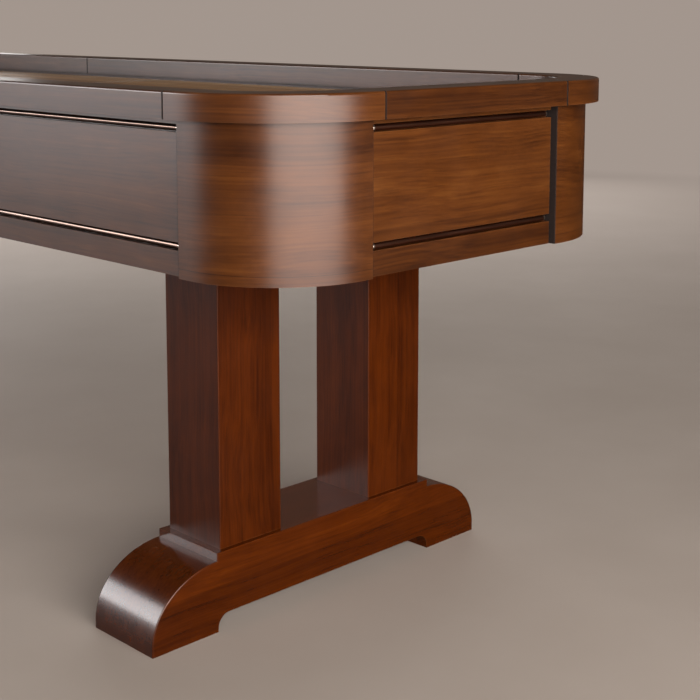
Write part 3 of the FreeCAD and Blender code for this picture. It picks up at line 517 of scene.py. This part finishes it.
def rounded_loop(half_x, half_y, radius):
    """Points round a rounded rectangle, anticlockwise, no further apart than CARPET_SPACING."""
    turns = max(2, math.ceil(radius * math.pi / 2 / CARPET_SPACING))
    arcs = []
    for sign_x, sign_y, start in ((1, 1, 0), (-1, 1, 90), (-1, -1, 180), (1, -1, 270)):
        centre = Vector((sign_x * (half_x - radius), sign_y * (half_y - radius)))
        angles = [math.radians(start + 90 * step / turns) for step in range(turns + 1)]
        arcs.append([centre + radius * Vector((math.cos(a), math.sin(a))) for a in angles])
    points = []
    for index, arc in enumerate(arcs):
        points += arc
        following = arcs[(index + 1) % len(arcs)][0]
        steps = max(1, math.ceil((following - arc[-1]).length / CARPET_SPACING))
        points += [arc[-1].lerp(following, step / steps) for step in range(1, steps)]
    return points


def rolling(point, height):
    """A smooth, repeatable unevenness."""
    return height * noise.noise(Vector(point) * ROLLS_PER_METRE)


def bridged(name, rings, material, thickness):
    """A surface through closed rings of equal length, with a real thickness below it."""
    mesh = bpy.data.meshes.new(name)
    count = len(rings[0])
    points = [tuple(point) for ring in rings for point in ring]
    faces = []
    for level in range(len(rings) - 1):
        low, high = level * count, (level + 1) * count
        for index in range(count):
            nearby = (index + 1) % count
            faces.append((low + index, low + nearby, high + nearby, high + index))
    mesh.from_pydata(points, [], faces)
    piece = mesh_object(name, mesh, material, smooth=True)
    solid = piece.modifiers.new("thickness", "SOLIDIFY")
    solid.thickness = thickness
    solid.offset = -1
    return piece


def gutter_carpet(material):
    """Carpet laid round the playfield, from the cradle out to the walls."""
    top = CARPET_HIGH[2] - PILE_BELOW_TOP
    outer = rounded_loop(CARPET_HIGH[0] - CARPET_GAP, CARPET_HIGH[1] - CARPET_GAP, WALL_RADIUS)
    inner_x, inner_y = CRADLE_HIGH[0] + CARPET_GAP, CRADLE_HIGH[1] + CARPET_GAP
    inner = [Vector((max(-inner_x, min(inner_x, p.x)), max(-inner_y, min(inner_y, p.y))))
             for p in outer]
    rings = []
    for row in range(LAID_ROWS + 1):
        spots = [far.lerp(near, row / LAID_ROWS) for far, near in zip(outer, inner)]
        rings.append([(spot.x, spot.y, top + rolling((spot.x, spot.y, 0), LAID_ROLL))
                      for spot in spots])
    piece = bridged("gutter_carpet_laid", rings, material, LAID_THICKNESS)
    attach(piece, "table")
    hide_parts("gutter_carpet")


def wall_lining(material):
    """A strip of the same carpet stuck up the inside of the walls."""
    loop = rounded_loop(LINING_HIGH[0] - LINING_THICKNESS, LINING_HIGH[1] - LINING_THICKNESS,
                        WALL_RADIUS - LINING_THICKNESS)
    rings = []
    for row in range(LINING_ROWS + 1):
        level = LINING_LOW[2] + (LINING_HIGH[2] - LINING_LOW[2]) * row / LINING_ROWS
        ring = []
        for spot in loop:
            inward = spot.normalized() * rolling((spot.x, spot.y, level), LINING_ROLL)
            ring.append((spot.x - inward.x, spot.y - inward.y, level))
        rings.append(ring)
    piece = bridged("wall_lining_stuck", rings, material, -LINING_BODY)
    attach(piece, "table")
    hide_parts("wall_lining")


# ---------------------------------------------------------------- scoring marks
PRINT_LEVEL = PLAYFIELD_HIGH[2] + 0.12 * MM
LINE_WIDTH, FOUL_LINE_WIDTH = 3.2 * MM, 6.4 * MM
LINE_INSETS, FOUL_LINE_INSET = (152 * MM, 305 * MM), 900 * MM
LINE_END_GAP = 3 * MM
ZONES = (("3", 76 * MM), ("2", 229 * MM), ("1", 470 * MM))
DIGIT_HEIGHT = 0.085
RING_RADIUS, RING_WIDTH, RING_STEPS = 52 * MM, 4 * MM, 48


def flat_patch(name, outlines, material):
    """Thin printed shapes lying on the playfield; each outline is a list of points."""
    mesh = bpy.data.meshes.new(name)
    points, faces = [], []
    for outline in outlines:
        faces.append(tuple(range(len(points), len(points) + len(outline))))
        points += [(x, y, PRINT_LEVEL) for x, y in outline]
    mesh.from_pydata(points, [], faces)
    piece = mesh_object(name, mesh, material)
    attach(piece, "table")


def strip_across(x, thick):
    """A line right across the playfield."""
    half = PLAYFIELD_HIGH[1] - LINE_END_GAP
    low, high = x - thick / 2, x + thick / 2
    return [(low, -half), (high, -half), (high, half), (low, half)]


def ring_quads(x):
    """A printed ring, as short four-sided pieces."""
    quads = []
    outer = RING_RADIUS + RING_WIDTH
    for step in range(RING_STEPS):
        a, b = 2 * math.pi * step / RING_STEPS, 2 * math.pi * (step + 1) / RING_STEPS
        corners = ((RING_RADIUS, a), (outer, a), (outer, b), (RING_RADIUS, b))
        quads.append([(x + r * math.cos(t), r * math.sin(t)) for r, t in corners])
    return quads


def digit(value, x, end, sign, material):
    """A printed zone number, read from the far end of the table."""
    curve = bpy.data.curves.new("zone_%s_%s_text" % (value, end), "FONT")
    curve.body = value
    curve.size = DIGIT_HEIGHT
    curve.align_x = "CENTER"
    curve.align_y = "CENTER"
    source = bpy.data.objects.new(curve.name, curve)
    bpy.context.scene.collection.objects.link(source)
    evaluated = source.evaluated_get(bpy.context.evaluated_depsgraph_get())
    mesh = bpy.data.meshes.new_from_object(evaluated)
    bpy.data.objects.remove(source)
    bpy.data.curves.remove(curve)
    for vertex in mesh.vertices:
        px, py = vertex.co.x, vertex.co.y
        vertex.co = (x + sign * py, -sign * px, PRINT_LEVEL)
    mesh.materials.clear()
    piece = mesh_object("zone_%s_%s" % (value, end), mesh, material)
    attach(piece, "table")


def scoring_marks():
    """Scoring lines, rings and zone numbers at each end of the playfield."""
    red, black = printed("red_print", RED_INK), printed("black_print", BLACK_INK)
    length = PLAYFIELD_HIGH[0]
    for end, sign in (("left", -1), ("right", 1)):
        lines = [strip_across(sign * (length - inset), LINE_WIDTH) for inset in LINE_INSETS]
        lines.append(strip_across(sign * (length - FOUL_LINE_INSET), FOUL_LINE_WIDTH))
        flat_patch("scoring_lines_" + end, lines, black)
        rings = [quad for _, inset in ZONES for quad in ring_quads(sign * (length - inset))]
        flat_patch("zone_rings_" + end, rings, red)
        for value, inset in ZONES:
            digit(value, sign * (length - inset), end, sign, red)


# ---------------------------------------------------------------- studio
BACKDROP = (0.365, 0.305, 0.268, 1)
PALE_FLOOR = ((0.3, (0.50, 0.44, 0.40)), (0.7, (0.54, 0.48, 0.44)))
DARK_FLOOR = (0.13, 0.062, 0.030)
FLOOR_REACH = 14.0
FADE_FROM, FADE_TO = 1.5, 5.5
AMBIENT = (0.98, 0.80, 0.66, 1)
DIM_ROOM, PALE_WALL = 0.04, 0.13
TOWARDS_WALL = (-0.707, 0.707, 0.0)

CORNER, TOE = (1.25, -0.25, 0.5), (1.04, -0.30, 0.08)
# Name, place, aim, width, height (metres), power (watts), colour, what it adds.
LAMPS = (
    ("window_left", (-3.69, -4.00, 2.08), TOE, 3.2, 2.3, 225, (1.0, 0.98, 0.99), "reflections"),
    ("wall_left", (-2.4, -3.6, 0.80), CORNER, 3.0, 1.5, 22, (1.0, 0.96, 0.97), "reflections"),
    ("softbox_right", (4.45, -1.3, 1.5), CORNER, 4.2, 1.5, 212, (1.0, 0.93, 0.86), "both"),
    ("sheen_right", (3.40, -0.80, 0.40), (1.25, -0.25, 0.40), 3.15, 0.8, 38,
     (1.0, 0.88, 0.83), "reflections"),
    ("ceiling", (0.6, -0.6, 3.4), (0.6, 0, 0.4), 3.6, 2.4, 3, (1.0, 0.96, 0.92), "both"),
    ("fill_back", (-3.0, 3.6, 1.3), (-0.4, 0, 0.35), 4.0, 2.0, 110, (1.0, 0.96, 0.92), "light"),
    ("rim_back", (-3.6, 1.2, 1.1), (-0.6, 0, 0.4), 2.0, 0.8, 18, (1.0, 0.96, 0.94), "both"),
)

CAMERA_PLACE = (2.557, -1.395, 0.8786)
CAMERA_DOWN, CAMERA_TURNED = 7.718, 45.267
SENSOR_WIDTH, FOCAL_LENGTH, VERTICAL_SHIFT = 36.0, 70.02, -0.2143


def floor_material():
    """Pale matt floor, fading into the backdrop; dark in reflections, clear from below."""
    shader = Shader("studio_floor")
    tone = shader.noise(shader.object_point(), (3, 3, 3))
    ray = shader.node("ShaderNodeLightPath").outputs
    colour = shader.mix(ray["Is Glossy Ray"], shader.ramp(tone, PALE_FLOOR), DARK_FLOOR)
    material = shader.finish(colour, 0.6, specular_ior_level=0.25)
    reach = shader.vector_math("LENGTH", shader.object_point(), (0, 0, 0), "Value")
    fade = shader.math("MULTIPLY", shader.remap(reach, FADE_FROM, FADE_TO), ray["Is Camera Ray"])
    glow = shader.node("ShaderNodeEmission", {"Color": BACKDROP})
    blend = shader.node("ShaderNodeMixShader",
                        {0: fade, 1: shader.surface.outputs[0], 2: glow.outputs[0]})
    underneath = shader.math("MULTIPLY", shader.geometry("Backfacing"), ray["Is Camera Ray"])
    clear = shader.node("ShaderNodeBsdfTransparent")
    shown = shader.node("ShaderNodeMixShader",
                        {0: underneath, 1: blend.outputs[0], 2: clear.outputs[0]})
    shader.join(shown.outputs[0], shader.output.inputs["Surface"])
    return material


def floor():
    mesh = bpy.data.meshes.new("studio_floor")
    corners = ((-1, -1), (1, -1), (1, 1), (-1, 1))
    mesh.from_pydata([(x * FLOOR_REACH, y * FLOOR_REACH, 0) for x, y in corners], [],
                     [(0, 1, 2, 3)])
    plane = mesh_object("studio_floor", mesh, floor_material())


def area_light(name, place, target, width, height, power, colour, adds):
    data = bpy.data.lights.new(name, "AREA")
    data.shape = "RECTANGLE"
    data.size, data.size_y = width, height
    data.energy = power
    data.color = colour
    lamp = bpy.data.objects.new(name, data)
    lamp.location = place
    direction = Vector(target) - Vector(place)
    lamp.rotation_euler = direction.to_track_quat("-Z", "Y").to_euler()
    lamp.visible_camera = False
    lamp.visible_diffuse = adds != "reflections"
    lamp.visible_glossy = adds != "light"
    bpy.context.scene.collection.objects.link(lamp)


def world_light():
    """A dim room with a paler wall behind the table; plain pale where the camera sees it."""
    world = bpy.data.worlds.new("studio_world")
    world.use_nodes = True
    bpy.context.scene.world = world
    nodes = Nodes(world.node_tree)
    direction = nodes.node("ShaderNodeTexCoord").outputs["Generated"]
    towards = nodes.vector_math("DOT_PRODUCT", direction, TOWARDS_WALL, "Value")
    strength = nodes.remap(towards, 0.35, 0.85, DIM_ROOM, PALE_WALL)
    ambient = nodes.node("ShaderNodeBackground", {"Color": AMBIENT, "Strength": strength})
    seen = nodes.node("ShaderNodeBackground", {"Color": BACKDROP, "Strength": 1.0})
    camera_ray = nodes.node("ShaderNodeLightPath").outputs["Is Camera Ray"]
    choose = nodes.node("ShaderNodeMixShader",
                        {0: camera_ray, 1: ambient.outputs[0], 2: seen.outputs[0]})
    nodes.node("ShaderNodeOutputWorld", {"Surface": choose.outputs[0]})


def studio():
    floor()
    world_light()
    for lamp in LAMPS:
        area_light(*lamp)
    bpy.context.scene.view_settings.view_transform = "Standard"


def camera():
    """The photograph's viewpoint: close to the right end, a little above the rail."""
    data = bpy.data.cameras.new("camera")
    data.sensor_width = SENSOR_WIDTH
    data.lens = FOCAL_LENGTH
    data.shift_y = VERTICAL_SHIFT
    data.dof.use_dof = False
    view = bpy.data.objects.new("camera", data)
    view.location = CAMERA_PLACE
    view.rotation_euler = (math.radians(90 - CAMERA_DOWN), 0, math.radians(CAMERA_TURNED))
    bpy.context.scene.collection.objects.link(view)
    bpy.context.scene.camera = view


camera()
studio()
paint_nodes()
pile = carpet("carpet_pile")
gutter_carpet(pile)
wall_lining(pile)
scoring_marks()
